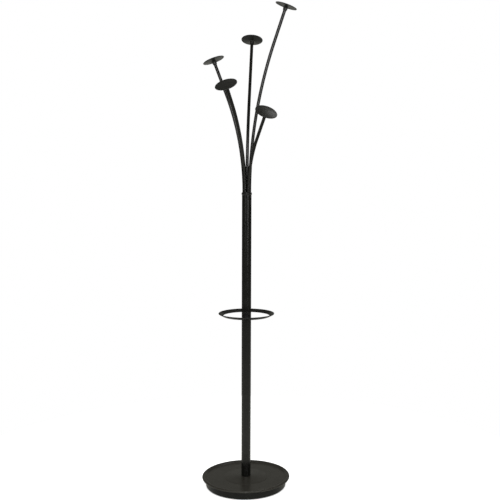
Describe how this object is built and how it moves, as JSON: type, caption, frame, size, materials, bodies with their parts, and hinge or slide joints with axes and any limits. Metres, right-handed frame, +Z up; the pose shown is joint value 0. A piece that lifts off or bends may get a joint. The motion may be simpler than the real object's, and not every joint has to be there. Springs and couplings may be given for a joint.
{
  "type": "standing coat rack",
  "caption": "Free-standing coat rack: curved arms with disc pegs fan out from a collar on a tube pole, with an umbrella ring and a round weighted base with a drip tray.",
  "frame": {"origin": "on the pole's axis at floor level, at the centre of the rubber plug under the base", "axes": "+Z up along the pole, +X to the right and -Y towards someone who faces the stand's front"},
  "size_m": [0.3574, 0.3675, 1.8682],
  "materials": {
    "tube_paint": "semi-gloss black powder coat on steel tube",
    "rod_paint": "semi-gloss black powder coat on steel rod",
    "peg_plastic": "satin black moulded plastic",
    "collar_plastic": "satin black moulded plastic",
    "ring_plastic": "satin black moulded plastic",
    "tray_plastic": "satin charcoal moulded plastic",
    "skirt_plastic": "fine-grained charcoal moulded plastic",
    "cement": "rough cast cement",
    "zinc_steel": "zinc-plated steel",
    "plate_steel": "black painted steel sheet",
    "rubber": "black rubber",
    "insert_nylon": "natural moulded nylon"
  },
  "bodies": {
    "stand": {"arm_collar": "collar_plastic", "ballast_disc": "cement", "base_bolt": "zinc_steel", "base_bolt_washer": "zinc_steel", "base_plate": "plate_steel", "base_screw_1": "zinc_steel", "base_screw_2": "zinc_steel", "base_screw_3": "zinc_steel", "base_screw_4": "zinc_steel", "base_skirt": "skirt_plastic", "bolt_cover_plug": "rubber", "drip_tray": "tray_plastic", "joint_stud": "zinc_steel", "lower_joint_insert": "insert_nylon", "lower_tube": "tube_paint", "rubber_foot_1": "rubber", "rubber_foot_2": "rubber", "rubber_foot_3": "rubber", "rubber_foot_4": "rubber", "rubber_foot_5": "rubber", "rubber_foot_6": "rubber", "tube_foot_insert": "insert_nylon", "umbrella_ring": "ring_plastic", "upper_joint_insert": "insert_nylon", "upper_tube": "tube_paint"},
    "arm_rear": {"rear_arm": "rod_paint", "rear_peg": "peg_plastic", "rear_peg_stud": "zinc_steel"},
    "arm_left": {"left_arm": "rod_paint", "left_peg": "peg_plastic", "left_peg_stud": "zinc_steel"},
    "arm_front_left": {"front_left_arm": "rod_paint", "front_left_peg": "peg_plastic", "front_left_peg_stud": "zinc_steel"},
    "arm_front_right": {"front_right_arm": "rod_paint", "front_right_peg": "peg_plastic", "front_right_peg_stud": "zinc_steel"},
    "arm_right": {"right_arm": "rod_paint", "right_peg": "peg_plastic", "right_peg_stud": "zinc_steel"}
  },
  "joints": [
    {"name": "rear_arm_swivel", "type": "hinge", "parent": "stand", "child": "arm_rear", "pos_m": [0.0005, 0.01147, 1.156], "axis": [0, 0, 1], "range_deg": [-15, 15]},
    {"name": "left_arm_swivel", "type": "hinge", "parent": "stand", "child": "arm_left", "pos_m": [-0.01076, 0.00402, 1.156], "axis": [0, 0, 1], "range_deg": [-15, 15]},
    {"name": "front_left_arm_swivel", "type": "hinge", "parent": "stand", "child": "arm_front_left", "pos_m": [-0.00715, -0.00899, 1.156], "axis": [0, 0, 1], "range_deg": [-15, 15]},
    {"name": "front_right_arm_swivel", "type": "hinge", "parent": "stand", "child": "arm_front_right", "pos_m": [0.00634, -0.00958, 1.156], "axis": [0, 0, 1], "range_deg": [-15, 15]},
    {"name": "right_arm_swivel", "type": "hinge", "parent": "stand", "child": "arm_right", "pos_m": [0.01107, 0.00307, 1.156], "axis": [0, 0, 1], "range_deg": [-15, 15]}
  ]
}
